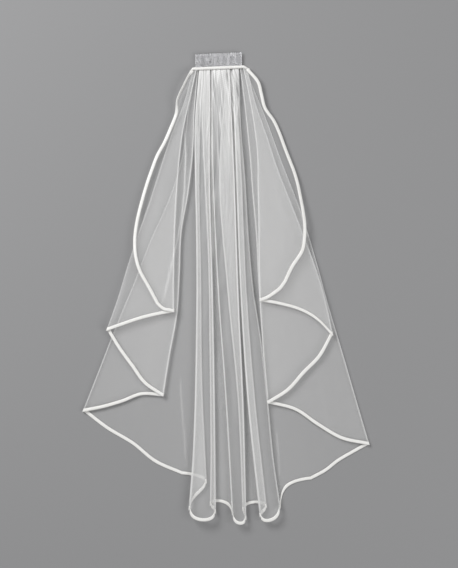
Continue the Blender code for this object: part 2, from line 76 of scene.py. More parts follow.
# turn: which way the crease points; bows: sideways bow of its line at the quarters or eighths;
# shine: how far the doubled net along the crease closes up
folds = [
    fold("leftEdge", "edge", -47.5, (0.0, 0.0, 0.0), -104.0, 394.0, 0.0),
    fold("left1", "right", -37.0, (-6.7, -12.8, -14.5, -13.6, -11.6, -8.5, -4.8), -74.0, 408.0, 0.4),
    fold("left2", "left", -43.5, (3.4, -0.1, -0.2, 0.5, -0.4, -0.4, 1.3), -187.0, 439.0, 0.12),
    fold("left3", "right", -34.5, (1.5, 6.0, 5.6, 1.3, 5.6, 8.4, 3.5), -92.0, 548.0, 0.4),
    fold("left4", "left", -40.0, (11.7, 26.0, 27.6, 19.3, 15.1, 8.9, 4.6), -227.0, 574.0, 0.13),
    fold("leftCrease", "crease", -33.0, (-3.0, -8.0, -8.0), -62.0, 678.5, 0.0),
    fold("flute1Under", "right", -27.0, (-7.2, -6.0, -6.0), -20.0, 693.3, 0.1),
    fold("flute1Left", "left", -33.0, (-4.7, -2.0, 1.8, 4.5, 5.6, 6.0, 4.6), -50.0, 737.2, 0.5),
    fold("flute1Right", "right", -14.5, (-2.6, -0.3, 0.6), -5.0, 742.5, 0.5),
    fold("valley1", "left", -28.0, (-1.2, 1.0, 3.9, 4.9, 4.2, 3.5, 2.7), -14.7, 730.2, 0.5),
    fold("flute2Left", "step", -12.0, (-6.0, -6.0, -1.5), 23.0, 746.5, 0.5),
    fold("flute2Right", "right", 18.0, (1.5, 1.0, 2.5), 45.7, 753.3, 0.5),
    fold("valley2", "left", 12.0, (-18.0, -11.5, -1.0), 39.5, 739.5, 0.5),
    fold("flute3Under", "right", 27.0, (-2.0, -7.5, -6.5), 80.0, 734.2, 0.1),
    fold("flute3Left", "left", 23.0, (-5.0, -9.5, -8.5), 68.3, 748.8, 0.5),
    fold("flute3Right", "step", 33.3, (-5.8, -7.3, -10.6, -11.0, -5.7, -4.4, -4.4), 102.0, 735.3, 0.55),
    fold("rightCrease", "crease", 38.0, (0.0, 0.0, 0.0), 154.0, 687.0, 0.0),
    fold("right4", "right", 44.0, (6.9, 9.7, 14.2, 12.8, 8.4, 6.0, 2.9), 251.0, 629.0, 0.2),
    fold("right3", "left", 35.5, (2.7, 4.0, 3.5, 3.8, 1.5, 0.2, -0.5), 81.0, 560.0, 0.3),
    fold("right2", "right", 47.5, (-5.0, -3.7, -3.1, 0.7, 4.5, 7.2, 5.7), 190.0, 447.0, 0.18),
    fold("right1", "left", 40.5, (6.7, 11.4, 13.1, 10.3, 7.8, 4.9, 1.9), 68.0, 390.0, 0.3),
    fold("rightEdge", "edge", 51.0, (0.0, 0.0, 0.0), 112.0, 358.0, 0.0),
]
foldNamed = {line.name: line for line in folds}

# layer: layers under it; hem: three bows at the quarters, or the two handles of a curve;
# combStep, hemStep: mesh steps; arch: flute height; fullness: how closely the net is gathered
stretches = [
    stretch("leftSide", 4, (3.0, 4.0, 2.0), 0.6, 2.0, 0.0, 0.0),
    stretch("leftSecond", 3, (-2.6, -3.4, -2.0), 1.0, 4.0, 0.0, 0.0),
    stretch("leftThird", 2, (5.5, 8.0, 10.0), 1.0, 4.0, 0.0, 0.0),
    stretch("leftFourth", 1, (-8.4, -3.0, 0.0), 1.0, 4.0, 0.0, 0.0),
    stretch("backLeft", 0, (4.0, 2.5, 7.5), 0.6, 4.0, 0.0, 0.0),
    stretch("backLeftInner", 0, (14.0, 0.8, 0.0, -9.0), 0.6, 3.0, 0.0, 0.1),
    stretch("flute1Tuck", 1, (0.0, 13.0, 0.0, -22.0), 0.6, 3.0, 0.0, 0.35),
    stretch("flute1", 2, (-2.5, 21.5, 3.0, 17.0), 0.6, 2.5, 7.0, 0.6),
    stretch("flute1Return", 1, (0.0, -7.0, 0.0, 5.0), 0.6, 3.0, 0.0, 0.5),
    stretch("backCentre", 0, (0.0, -10.0, 0.0, -24.0), 0.6, 3.0, 0.0, 1.5),
    stretch("flute2", 2, (-1.5, 17.0, 2.0, 10.0), 0.6, 2.5, 5.0, 0.7),
    stretch("flute2Return", 1, (0.0, -7.0, 0.0, 5.0), 0.6, 3.0, 0.0, 0.4),
    stretch("backRightCentre", 0, (0.0, -17.0, 0.0, -9.0), 0.6, 3.0, 0.0, 1.4),
    stretch("flute3Tuck", 1, (0.0, 7.0, 0.0, -7.0), 0.6, 3.0, 0.0, 0.4),
    stretch("flute3", 2, (-1.0, 13.0, 1.5, 22.0), 0.6, 2.5, 4.0, 0.6),
    stretch("backRightInner", 0, (0.0, -34.0, -38.0, 4.0), 0.6, 4.0, 0.0, 0.1),
    stretch("backRight", 0, (1.5, -1.5, -1.0), 0.6, 4.0, 0.0, 0.0),
    stretch("rightFourth", 1, (8.5, 3.0, -6.0), 1.0, 4.0, 0.0, 0.0),
    stretch("rightThird", 2, (10.0, 9.5, 10.0), 1.0, 4.0, 0.0, 0.0),
    stretch("rightSecond", 3, (-12.0, -14.5, -9.0), 1.0, 4.0, 0.0, 0.0),
    stretch("rightSide", 4, (3.5, 4.5, 4.0), 0.6, 2.0, 0.0, 0.0),
]
lastStretch = len(stretches) - 1

spineLow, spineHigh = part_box("comb_spine")
combX = (spineLow[0] + spineHigh[0]) / 2
combY = (spineLow[1] + spineHigh[1]) / 2 + 1.2 * mm


def place(across, drop, level):
    return Vector((combX + across * mm, combY - drop * mm, level * mm))


def smooth(value):
    value = min(max(value, 0.0), 1.0)
    return value * value * (3.0 - 2.0 * value)


def layerHeight(drop):
    comb, middle, hem = (clothLayout[name] for name in ("layerAtComb", "layerAtMiddle", "layerAtHem"))
    middleDrop = clothLayout["middleDrop"]
    upper = comb + (middle - comb) * smooth(drop / middleDrop)
    return upper + (hem - middle) * smooth((drop - middleDrop) / (clothLayout["hemDrop"] - middleDrop))


def combPoint(across):
    return np.array([across, clothLayout["clothTopDrop"] + clothLayout["combTilt"] * across])


# smooth curve through zero, the evenly spaced bows, and zero
def bowAlong(bows, share):
    values = (0.0,) + tuple(bows) + (0.0,)
    last = len(values) - 1
    spot = min(max(share, 0.0), 1.0) * last
    index = min(int(spot), last - 1)
    local = spot - index
    before = values[index - 1] if index else 2.0 * values[0] - values[1]
    after = values[index + 2] if index < last - 1 else 2.0 * values[last] - values[last - 1]
    start, end = values[index], values[index + 1]
    lift, fall = 0.5 * (end - before), 0.5 * (after - start)
    cube, square = local ** 3, local ** 2
    return ((2 * cube - 3 * square + 1) * start + (cube - 2 * square + local) * lift
            + (3 * square - 2 * cube) * end + (cube - square) * fall)


def bowedLine(start, end, bows, share):
    start, end = np.array(start, float), np.array(end, float)
    along = (end - start) / np.linalg.norm(end - start)
    outward = np.array([-along[1], along[0]])
    if np.dot(outward, (start + end) / 2.0) < 0.0:
        outward = -outward
    return start + (end - start) * share + outward * bowAlong(bows, share)


def hemPoint(index, share):
    first, last, hem = folds[index], folds[index + 1], stretches[index].hem
    start, end = (first.hemAcross, first.hemDrop), (last.hemAcross, last.hemDrop)
    if len(hem) == 3:
        return bowedLine(start, end, hem, share)
    start, end = np.array(start), np.array(end)
    near, far = start + np.array(hem[:2]), end + np.array(hem[2:])
    rest = 1.0 - share
    return (rest ** 3 * start + 3.0 * rest ** 2 * share * near
            + 3.0 * rest * share ** 2 * far + share ** 3 * end)


def creaseAcross(line, drop):
    top = combPoint(line.comb)
    share = min(max((drop - top[1]) / (line.hemDrop - top[1]), 0.0), 1.0)
    return line.comb + (line.hemAcross - line.comb) * share + bowAlong(line.bows, share)


def creasePoint(line, share):
    top = combPoint(line.comb)
    point = top + (np.array([line.hemAcross, line.hemDrop]) - top) * share
    point[0] += bowAlong(line.bows, share)
    return point


def sideEdge(left, share):
    line = folds[0] if left else folds[-1]
    bows = clothLayout["leftSideBow"] if left else clothLayout["rightSideBow"]
    start = combPoint(line.comb) + np.array([0.0, clothLayout["ribbonStart"][0 if left else 1]])
    return bowedLine(start, (line.hemAcross, line.hemDrop), bows, share)


def sideInward(left, down):
    before, after = sideEdge(left, max(down - 0.01, 0.0)), sideEdge(left, min(down + 0.01, 1.0))
    along = (after - before) / np.linalg.norm(after - before)
    return np.array([along[1], -along[0]]) if left else np.array([-along[1], along[0]])


# Gathers leave the band and fade down the cloth; loose ones run on as long soft waves
gathers = {
    "height": 1.25,
    "fade": 60.0,
    "waves": 30.0,  # across the whole fan
    "length": 110.0,
    "looseHeight": 0.5,
    "looseFade": 260.0,
    "looseWaves": 13.0,
    "looseLength": 260.0,
    "bandLow": 6.0,  # drop where they start to fade
    "calmEdge": 0.04,  # share of the fan that stays flat at either side
    "calmFade": 0.08,
    "level": 0.5,
    "swing": 0.8,
}


# how far across the fan a place is, from the outermost left fold to the outermost right one
def fanShare(across, drop):
    left, right = creaseAcross(foldNamed["left4"], drop), creaseAcross(foldNamed["right4"], drop)
    return (across - left) / (right - left)


def gatherLevel(across, drop):
    spot = fanShare(across, drop)
    calm = smooth((spot - gathers["calmEdge"]) / gathers["calmFade"])
    calm *= smooth((1.0 - gathers["calmEdge"] - spot) / gathers["calmFade"])
    below = max(drop - gathers["bandLow"], 0.0)
    close = noise.noise(Vector((spot * gathers["waves"], drop / gathers["length"], 0.0)))
    loose = noise.noise(Vector((spot * gathers["looseWaves"], drop / gathers["looseLength"], 7.0)))
    level, swing = gathers["level"], gathers["swing"]
    tight = gathers["height"] * math.exp(-below / gathers["fade"]) * (level + swing * close)
    slack = gathers["looseHeight"] * math.exp(-below / gathers["looseFade"]) * (level + swing * loose)
    return max(calm * (tight + slack), 0.0)


# Creases, given one by one. first and last: the stretches they lie on, counted from leftSide as 0;
# cover: above 0 the net closes up along it, below 0 it opens; points: across and drop, comb first
crease = namedtuple("crease", "first last width height cover points")
creases = [
    crease(1, 3, 1.0, 0.7, 0.6,
           ((-57, 100), (-55, 148), (-57, 205), (-62, 253), (-69, 287), (-80, 338), (-93, 392))),
    crease(8, 9, 1.8, 0.0, 0.9, ((-13, 6), (-12, 172), (-9.5, 329))),
    crease(11, 13, 1.8, 0.0, 0.9,
           ((20.7, 6), (21.3, 65), (24, 118), (27.5, 172), (31.5, 280), (36, 420))),
    crease(4, 5, 1.6, 1.2, 0.35, ((-64, 520), (-62, 560), (-58, 608), (-53, 674))),
    crease(15, 16, 1.6, 1.2, 0.3, ((97, 610), (99, 640), (102, 700))),
    crease(7, 10, 1.1, 0.7, 0.5,
           ((1, 8), (-3, 26), (-8, 40), (-13, 61), (-15, 80), (-19, 106), (-20, 128))),
    crease(7, 10, 1.1, 0.7, 0.5, ((-9, 40), (-6, 62), (-3, 76), (-2, 102), (-1, 140), (1, 178))),
    crease(7, 10, 1.0, 0.6, 0.5, ((7, 30), (5, 58), (2, 73), (2, 88), (4, 104), (5, 120))),
    crease(7, 8, 1.0, 0.6, 0.45,
           ((-34, 20), (-33, 40), (-31, 57), (-28, 80), (-27, 112), (-22, 216), (-17, 322))),
    crease(10, 14, 1.1, 0.7, 0.55,
           ((21, 8), (23, 21), (20, 35), (17, 43), (16, 58), (18, 70), (17, 103), (18, 145))),
    crease(10, 14, 1.0, 0.6, 0.45, ((20, 52), (23, 63), (26, 73), (27, 90))),
    crease(10, 14, 1.1, 0.6, 0.5, ((34, 44), (32, 64), (29, 80), (27, 100), (23, 133), (22, 150))),
    crease(7, 10, 1.2, 0.4, -0.5, ((-38, 22), (-37, 48), (-34, 66), (-33, 100), (-32, 120))),
    crease(9, 14, 1.7, 0.0, -0.95, ((13, 5), (14, 18), (16, 30), (17, 38))),
    crease(1, 6, 1.2, 0.0, -0.5, ((-40, 8), (-43, 16), (-48, 40), (-53, 62))),
    crease(3, 6, 3.4, 0.0, -0.7,
           ((-36, 8), (-42, 38), (-46, 63), (-48, 92), (-49, 120), (-49, 150), (-48, 176))),
    crease(15, 19, 1.8, 0.0, -0.7, ((35, 8), (37, 30), (39, 50), (41, 84), (44, 130), (48, 190))),
    crease(17, 19, 1.0, 0.0, -0.6, ((40, 5), (43, 14), (45, 24), (48, 40))),
    crease(0, 0, 4.0, 1.0, 0.05, ((-95, 200), (-104, 250), (-112, 300), (-112, 340))),
    crease(20, 20, 4.0, 1.0, 0.05, ((95, 180), (104, 230), (108, 280), (104, 330))),
    crease(4, 4, 5.0, 1.2, 0.04, ((-100, 420), (-118, 500), (-130, 560), (-138, 610))),
    crease(16, 16, 5.0, 1.2, 0.04, ((150, 440), (168, 520), (178, 580), (186, 640))),
]


creaseEnds = {"past": 4.0, "fadeIn": 12.0, "fadeOut": 30.0}


# what the creases add at a place: height, closed-up net, and the share of net they leave
def creaseWave(index, across, drop):
    level, amount, shade = 0.0, 0.0, 1.0
    past = creaseEnds["past"]
    for line in creases:
        if not line.first <= index <= line.last:
            continue
        top, bottom = line.points[0][1], line.points[-1][1]
        if not top - past < drop < bottom + past:
            continue
        for (x0, d0), (x1, d1) in zip(line.points, line.points[1:]):
            if drop <= d1 or d1 == bottom:
                middle = x0 + (x1 - x0) * min(max((drop - d0) / (d1 - d0), 0.0), 1.0)
                break
        ends = smooth((drop - top + past) / creaseEnds["fadeIn"])
        ends *= smooth((bottom + past - drop) / creaseEnds["fadeOut"])
        wave = math.exp(-((across - middle) / line.width) ** 2) * ends
        level += line.height * wave
        if line.cover > 0.0:
            amount += line.cover * wave
        else:
            shade *= 1.0 + line.cover * wave
    return level, amount, shade


# An upper stretch sinks where the folds under it end: layers it sinks by, and over what run
sinking = {
    "left4": (1.5, 30.0),
    "left2": (1.3, 24.0),
    "right2": (1.4, 24.0),
    "right4": (1.2, 24.0),
    "past": 3.0,
    "fullDrop": 90.0,
}


def sinkPast(name, across, drop):
    layers, run = sinking[name]
    outward = 1.0 if name.startswith("left") else -1.0
    past = outward * (creaseAcross(foldNamed[name], drop) - across)
    return layers * smooth((past - sinking["past"]) / run)


def sink(index, across, drop):
    nearComb = smooth(drop / sinking["fullDrop"])
    if index <= 2:
        second = sinkPast("left2", across, drop) if index == 0 else 0.0
        return nearComb * (sinkPast("left4", across, drop) + second)
    if index == lastStretch:
        return nearComb * (sinkPast("right2", across, drop) + sinkPast("right4", across, drop))
    return 0.0


def levelAt(index, across, drop, share, down):
    part = stretches[index]
    layer = part.layer - sink(index, across, drop)
    arch = part.arch * math.sin(math.pi * share) * smooth(down)
    level = clothLayout["wallLevel"] + layer * layerHeight(drop) + arch
    return level + gatherLevel(across, drop) + creaseWave(index, across, drop)[0]


def rayPoint(index, share, down):
    first, last = folds[index], folds[index + 1]
    top = combPoint(first.comb + (last.comb - first.comb) * share)
    start, end = np.array([first.hemAcross, first.hemDrop]), np.array([last.hemAcross, last.hemDrop])
    chord = start + (end - start) * share
    point = top + (chord - top) * down + (hemPoint(index, share) - chord) * down ** 5
    point[0] += bowAlong(first.bows, down) * (1.0 - share) + bowAlong(last.bows, down) * share
    return point


def turnSide(line):
    return {"right": 1.0, "left": -1.0}.get(line.turn, 0.0)


def turnRadius(foldIndex, drop):
    return 0.5 * layerHeight(drop) if turnSide(folds[foldIndex]) else 0.0


def flatVertex(index, share, down):
    point = rayPoint(index, share, down)
    for foldIndex, weight, side in ((index, 1.0 - share, -1.0), (index + 1, share, 1.0)):
        point[0] -= turnSide(folds[foldIndex]) * turnRadius(foldIndex, point[1]) * weight
        if folds[foldIndex].turn == "step":
            point[0] -= side * 0.25 * layerHeight(point[1]) * weight
    return (point[0], point[1], levelAt(index, point[0], point[1], share, down))


def turnVertex(foldIndex, angle, down):
    point = creasePoint(folds[foldIndex], down)
    side, radius = turnSide(folds[foldIndex]), turnRadius(foldIndex, point[1])
    across = point[0] - side * radius
    before = levelAt(foldIndex - 1, across, point[1], 1.0, down)
    after = levelAt(foldIndex, across, point[1], 0.0, down)
    turn = math.radians(angle)
    level = (before + after) / 2.0 + (after - before) / 2.0 * math.sin(turn)
    return (across + side * radius * math.cos(turn), point[1], level)


def stepVertex(foldIndex, share, down):
    point = creasePoint(folds[foldIndex], down)
    before = levelAt(foldIndex - 1, point[0], point[1], 1.0, down)
    after = levelAt(foldIndex, point[0], point[1], 0.0, down)
    run = 0.5 * layerHeight(point[1])
    return (point[0] + run * (share - 0.5), point[1], before + (after - before) * smooth(share))


def tipInward(left, towardTip):
    line = folds[1] if left else folds[-2]
    ray = creasePoint(line, 0.95) - creasePoint(line, 1.0)
    blend = sideInward(left, 1.0) * (1.0 - towardTip) + ray / np.linalg.norm(ray) * towardTip
    return blend / np.linalg.norm(blend)


# below the comb the ribbon stands up on the left, so that less of its width is seen
def narrowed(left, down):
    if not left:
        return 0.0
    lies = smooth((down - clothLayout["narrowEnd"]) / clothLayout["narrowFade"])
    return clothLayout["narrowing"] * smooth(down / clothLayout["narrowStart"]) * (1.0 - lies)


# a side stretch is a patch between its free edge, its fold, the comb and its tip
def sideVertex(index, share, down, width):
    left = index == 0
    foldIndex = 1 if left else len(folds) - 2
    line = folds[foldIndex]
    edgeShare = 1.0 - share if left else share
    side = turnSide(line)
    edge = sideEdge(left, down) + sideInward(left, down) * width * (1.0 - narrowed(left, down))
    corner = sideEdge(left, 1.0) + sideInward(left, 1.0) * width
    tip = np.array([line.hemAcross, line.hemDrop]) + tipInward(left, 1.0) * width
    tip[0] -= side * turnRadius(foldIndex, line.hemDrop)
    cut = down * (1.0 - width / np.linalg.norm(tip - combPoint(line.comb)))
    inner = creasePoint(line, cut)
    inner[0] -= side * turnRadius(foldIndex, inner[1])
    bottom = hemPoint(index, share) + tipInward(left, 1.0 - edgeShare) * width
    bottom[0] -= side * turnRadius(foldIndex, bottom[1]) * (1.0 - edgeShare)
    bottomLine = corner * edgeShare + tip * (1.0 - edgeShare)
    point = edge * edgeShare + inner * (1.0 - edgeShare) + (bottom - bottomLine) * down
    seen = clothLayout["ribbonWidth"] * (1.0 - narrowed(left, down))
    fromEdge = np.linalg.norm(point - sideEdge(left, down))
    stand = math.sqrt(clothLayout["ribbonWidth"] ** 2 - seen ** 2) * max(0.0, 1.0 - fromEdge / seen)
    return (point[0], point[1], levelAt(index, point[0], point[1], 0.5, down) + stand)


# How a width square to the hem is measured along the cloth's own length
hemCut = {"step": 0.03, "leastSlant": 0.7, "smoothing": 6}


def bindingLength(index, share, width):
    step = hemCut["step"]
    before, after = hemPoint(index, max(share - step, 0.0)), hemPoint(index, min(share + step, 1.0))
    tangent = (after - before) / np.linalg.norm(after - before)
    ray = hemPoint(index, share) - rayPoint(index, share, 1.0 - step)
    ray = ray / np.linalg.norm(ray)
    slant = abs(ray[0] * tangent[1] - ray[1] * tangent[0])
    return width / max(slant, hemCut["leastSlant"])


def columnBinding(column, width):
    kind, index, value = column
    if kind == "flat":
        return bindingLength(index, value, width)
    before, after = max(index - 1, 1), min(index, lastStretch - 1)
    return 0.5 * (bindingLength(before, 1.0, width) + bindingLength(after, 0.0, width))


def bindingLengths(columns, width):
    lengths = [columnBinding(column, width) for column in columns]
    for _ in range(hemCut["smoothing"]):
        padded = [lengths[0]] + lengths + [lengths[-1]]
        lengths = [(a + 2.0 * b + c) / 4.0 for a, b, c in zip(padded, padded[1:], padded[2:])]
    return lengths


def foldColumns(foldIndex, segments):
    kind = folds[foldIndex].turn
    if kind == "crease":
        return [("flat", foldIndex, 0.0)]
    if kind == "step":
        return [("step", foldIndex, number / segments) for number in range(segments + 1)]
    return [("turn", foldIndex, -90.0 + 180.0 * number / segments) for number in range(segments + 1)]


# the mesh columns in order round the sheet: kind, stretch or fold, and place on it
def columnList(density, segments):
    columns = []
    for index, part in enumerate(stretches):
        combRun = abs(folds[index + 1].comb - folds[index].comb)
        ends = [hemPoint(index, number / 8.0) for number in range(9)]
        hemRun = sum(np.linalg.norm(b - a) for a, b in zip(ends, ends[1:]))
        count = int(max(3, combRun / part.combStep, hemRun / part.hemStep) * density)
        if index:
            columns += foldColumns(index, segments)
        low = 0 if index == 0 else 1
        high = count + 1 if index == lastStretch else count
        spots = [number / (count + 1.0) for number in range(low, high + 1)]
        close = 0.3 / (count + 1.0)  # one more column close beside each fold
        spots += [close] * (index > 0) + [1.0 - close] * (index < lastStretch)
        columns += [("flat", index, spot) for spot in sorted(spots)]
    return columns


def columnVertex(column, down, width, taken):
    kind, index, value = column
    if kind == "flat" and index in (0, lastStretch):
        return sideVertex(index, value, down, width)
    hem = hemPoint(min(index, lastStretch), value if kind == "flat" else 0.0)
    shorter = down * (1.0 - taken / np.linalg.norm(hem - combPoint(folds[index].comb)))
    if kind == "flat":
        return flatVertex(index, value, shorter)
    if kind == "turn":
        return turnVertex(index, value, shorter)
    return stepVertex(index, value, shorter)


# a grid from rows of points, made with bmesh's own grid operator
def gridPiece(name, rows):
    mesh = bpy.data.meshes.new(name)
    shape = bmesh.new()
    across, down = len(rows[0]), len(rows)
    bmesh.ops.create_grid(shape, x_segments=across - 1, y_segments=down - 1, size=1.0)
    shape.verts.ensure_lookup_table()
    for number, vertex in enumerate(shape.verts):
        row, column = divmod(number, across)
        vertex.co = place(*rows[row][column])
    for face in shape.faces:
        face.smooth = True
    shape.normal_update()
    shape.to_mesh(mesh)
    shape.free()
    piece = bpy.data.objects.new(name, mesh)
    bpy.context.scene.collection.objects.link(piece)
    return piece


def giveWall(piece, thickness):
    wall = piece.modifiers.new("wall", "SOLIDIFY")
    wall.thickness = thickness
    wall.offset = 0.0
    depsgraph = bpy.context.evaluated_depsgraph_get()
    finished = bpy.data.meshes.new_from_object(piece.evaluated_get(depsgraph))
    piece.modifiers.clear()
    piece.data = finished


# Materials
def newMaterial(name):
    material = bpy.data.materials.new(name)
    material.use_nodes = True
    nodes, links = material.node_tree.nodes, material.node_tree.links
    return material, nodes, links, nodes["Principled BSDF"]


def mathNode(nodes, links, operation, *values):
    node = nodes.new("ShaderNodeMath")
    node.operation = operation
    for socket, value in zip(node.inputs, values):
        if isinstance(value, (int, float)):
            socket.default_value = value
        else:
            links.new(value, socket)
    return node.outputs[0]


netLook = {
    "cell": 0.0013,  # metres
    "colour": (0.94, 0.94, 0.935),
    "roughness": 0.62,
    "sheen": 0.25,
    "specular": 0.3,
    "contrast": 0.45,
    "streaks": 36.0,  # across the fan
    "streakLength": 0.08,
    "streakSwing": 5.0,
    "leastStreak": 0.25,
}


# hexagonal net: three sets of waves at 60 degrees, read on the cloth's own cut
def tulleMaterial():
    material, nodes, links, shader = newMaterial("whiteTulle")
    cut = nodes.new("ShaderNodeUVMap")
    cut.uv_map = "cut"
    split = nodes.new("ShaderNodeSeparateXYZ")
    links.new(cut.outputs[0], split.inputs[0])
    waves = []
    for angle in (0.0, 60.0, 120.0):
        turn = math.radians(angle)
        scale = 2.0 * math.pi / netLook["cell"]
        run = mathNode(nodes, links, "MULTIPLY", split.outputs[0], math.cos(turn) * scale)
        total = mathNode(nodes, links, "MULTIPLY_ADD", split.outputs[1], math.sin(turn) * scale, run)
        waves.append(mathNode(nodes, links, "COSINE", total))
    pair = mathNode(nodes, links, "ADD", waves[0], waves[1])
    hexes = mathNode(nodes, links, "ADD", pair, waves[2])
    threads = mathNode(nodes, links, "MULTIPLY_ADD", hexes, -netLook["contrast"] / 3.0, 1.0)
    fan = nodes.new("ShaderNodeUVMap")
    fan.uv_map = "fan"
    stretched = nodes.new("ShaderNodeVectorMath")
    stretched.operation = "MULTIPLY"
    stretched.inputs[1].default_value = (netLook["streaks"], 1.0 / netLook["streakLength"], 1.0)
    links.new(fan.outputs[0], stretched.inputs[0])
    streak = nodes.new("ShaderNodeTexNoise")
    streak.inputs["Scale"].default_value = 1.0
    streak.inputs["Detail"].default_value = 2.5
    streak.inputs["Distortion"].default_value = 0.5
    links.new(stretched.outputs[0], streak.inputs["Vector"])
    swing = mathNode(nodes, links, "MULTIPLY_ADD", streak.outputs["Fac"],
                     netLook["streakSwing"], -netLook["streakSwing"] / 2.0)
    pulled = nodes.new("ShaderNodeAttribute")
    pulled.attribute_name = "gathered"
    change = mathNode(nodes, links, "MULTIPLY_ADD", swing, pulled.outputs["Fac"], 1.0)
    change = mathNode(nodes, links, "MAXIMUM", change, netLook["leastStreak"])
    cover = nodes.new("ShaderNodeAttribute")
    cover.attribute_name = "cover"
    alpha = mathNode(nodes, links, "MULTIPLY", cover.outputs["Fac"], threads)
    alpha = mathNode(nodes, links, "MULTIPLY", alpha, change)
    alpha = mathNode(nodes, links, "MINIMUM", alpha, 1.0)
    links.new(alpha, shader.inputs["Alpha"])
    shader.inputs["Base Color"].default_value = (*netLook["colour"], 1.0)
    shader.inputs["Roughness"].default_value = netLook["roughness"]
    shader.inputs["Sheen Weight"].default_value = netLook["sheen"]
    shader.inputs["Specular IOR Level"].default_value = netLook["specular"]
    return material


satinLook = {
    "colour": (0.96, 0.955, 0.94),
    "shade": (0.87, 0.86, 0.83),
    "patches": 90.0,
    "roughness": (0.28, 0.46),
    "weave": 3200.0,
    "weaveBump": 0.15,
    "weaveDepth": 0.0002,
    "sheen": 0.3,
}


def satinMaterial(name, colour, shade):
    material, nodes, links, shader = newMaterial(name)
    spot = nodes.new("ShaderNodeTexCoord")
    soft = nodes.new("ShaderNodeTexNoise")
    soft.inputs["Scale"].default_value = satinLook["patches"]
    soft.inputs["Detail"].default_value = 3.0
    links.new(spot.outputs["Object"], soft.inputs["Vector"])
    blend = nodes.new("ShaderNodeMix")
    blend.data_type = "RGBA"
    blend.inputs[6].default_value = (*shade, 1.0)
    blend.inputs[7].default_value = (*colour, 1.0)
    links.new(soft.outputs["Fac"], blend.inputs[0])
    links.new(blend.outputs[2], shader.inputs["Base Color"])
    fine = nodes.new("ShaderNodeTexNoise")
    fine.inputs["Scale"].default_value = satinLook["weave"]
    links.new(spot.outputs["Object"], fine.inputs["Vector"])
    rough = nodes.new("ShaderNodeMapRange")
    rough.inputs["To Min"].default_value = satinLook["roughness"][0]
    rough.inputs["To Max"].default_value = satinLook["roughness"][1]
    links.new(fine.outputs["Fac"], rough.inputs["Value"])
    links.new(rough.outputs[0], shader.inputs["Roughness"])
    bump = nodes.new("ShaderNodeBump")
    bump.inputs["Strength"].default_value = satinLook["weaveBump"]
    bump.inputs["Distance"].default_value = satinLook["weaveDepth"]
    links.new(fine.outputs["Fac"], bump.inputs["Height"])
    links.new(bump.outputs[0], shader.inputs["Normal"])
    shader.inputs["Sheen Weight"].default_value = satinLook["sheen"]
    return material


tulle = tulleMaterial()
satin = satinMaterial("ivorySatin", satinLook["colour"], satinLook["shade"])

# The tulle: one sheet from side edge to side edge
netSheet = {
    "wall": 0.0003,  # metres
    "rows": 66,
    "rowSpread": 1.3,  # above 1 the rows stand closer near the comb
    "hemInset": 1.2,
    "density": 0.88,
    "turnSegments": 6,
    "leastSlope": 0.2,
    "combNarrowing": 0.75,  # share of the net's width that is taken in at the comb
    "foldShift": 0.37,  # moves the streaks from one fold to the next
}
# Shares of the view that the threads fill, and how far down they reach in millimetres
coverage = {
    "outer": 0.15,
    "towardCentre": 0.06,
    "centreAt": 0.47,
    "centreFall": 2.2,
    "flute": 0.08,
    "gathered": 0.42,
    "gatherFade": 130.0,
    "atComb": 0.35,
    "combFade": 45.0,
    "creased": 0.6,
    "least": 0.02,
    "most": 0.95,
    "streaks": 0.66,
    "streakFade": 320.0,
    "shine": 0.7,
    "shineWidth": 0.6,
    "doubled": {"flute1Tuck": 0.22, "flute3Tuck": 0.2, "flute1Return": 0.14, "flute2Return": 0.14},
}


def rowShares(count):
    return [(number / (count - 1.0)) ** netSheet["rowSpread"] for number in range(count)]


# 1 between the first flute's left fold and the last flute's right one, 0 outside them
def inBody(across, drop):
    left = smooth((across - creaseAcross(foldNamed["flute1Left"], drop) + 1.0) / 3.0)
    return left * smooth((creaseAcross(foldNamed["flute3Right"], drop) + 1.0 - across) / 3.0)


# share of the view that the threads fill at a place, lying flat, and how strong its streaks are
def coverAt(column, across, drop):
    kind, index, _ = column
    part = stretches[min(index, lastStretch)]
    fullness = part.fullness
    if kind != "flat":
        fullness = 0.5 * (fullness + stretches[index - 1].fullness)
    below = max(drop - gathers["bandLow"], 0.0)
    near = math.exp(-below / coverage["gatherFade"])
    fromCentre = abs(fanShare(across, drop) - coverage["centreAt"])
    centre = max(0.0, 1.0 - fromCentre * coverage["centreFall"])
    body = inBody(across, drop)
    gathered = body * coverage["gathered"] * near * (0.4 + 0.6 * fullness)
    amount = coverage["outer"] + coverage["towardCentre"] * centre
    amount += coverage["doubled"].get(part.name, 0.0)
    amount += min(fullness, 1.0) * coverage["flute"] + gathered
    amount += coverage["atComb"] * math.exp(-below / coverage["combFade"]) * (0.2 + 0.8 * body)
    _, extra, shade = creaseWave(min(index, lastStretch), across, drop)
    amount = (amount + extra * coverage["creased"]) * shade + shineAt(column, across, drop)
    streaks = coverage["streaks"] * math.exp(-below / coverage["streakFade"]) * (0.25 + 0.75 * body)
    return min(max(amount, coverage["least"]), coverage["most"]), streaks


# the net closes up where it is turned over, all along a crease
def shineAt(column, across, drop):
    kind, index, _ = column
    if kind != "flat":
        return folds[index].shine
    shine = 0.0
    for foldIndex in (index, index + 1):
        away = abs(across - creaseAcross(folds[foldIndex], drop)) - turnRadius(foldIndex, drop)
        fade = math.exp(-(max(away, 0.0) / coverage["shineWidth"]) ** 2)
        shine += coverage["shine"] * folds[foldIndex].shine * fade
    return shine


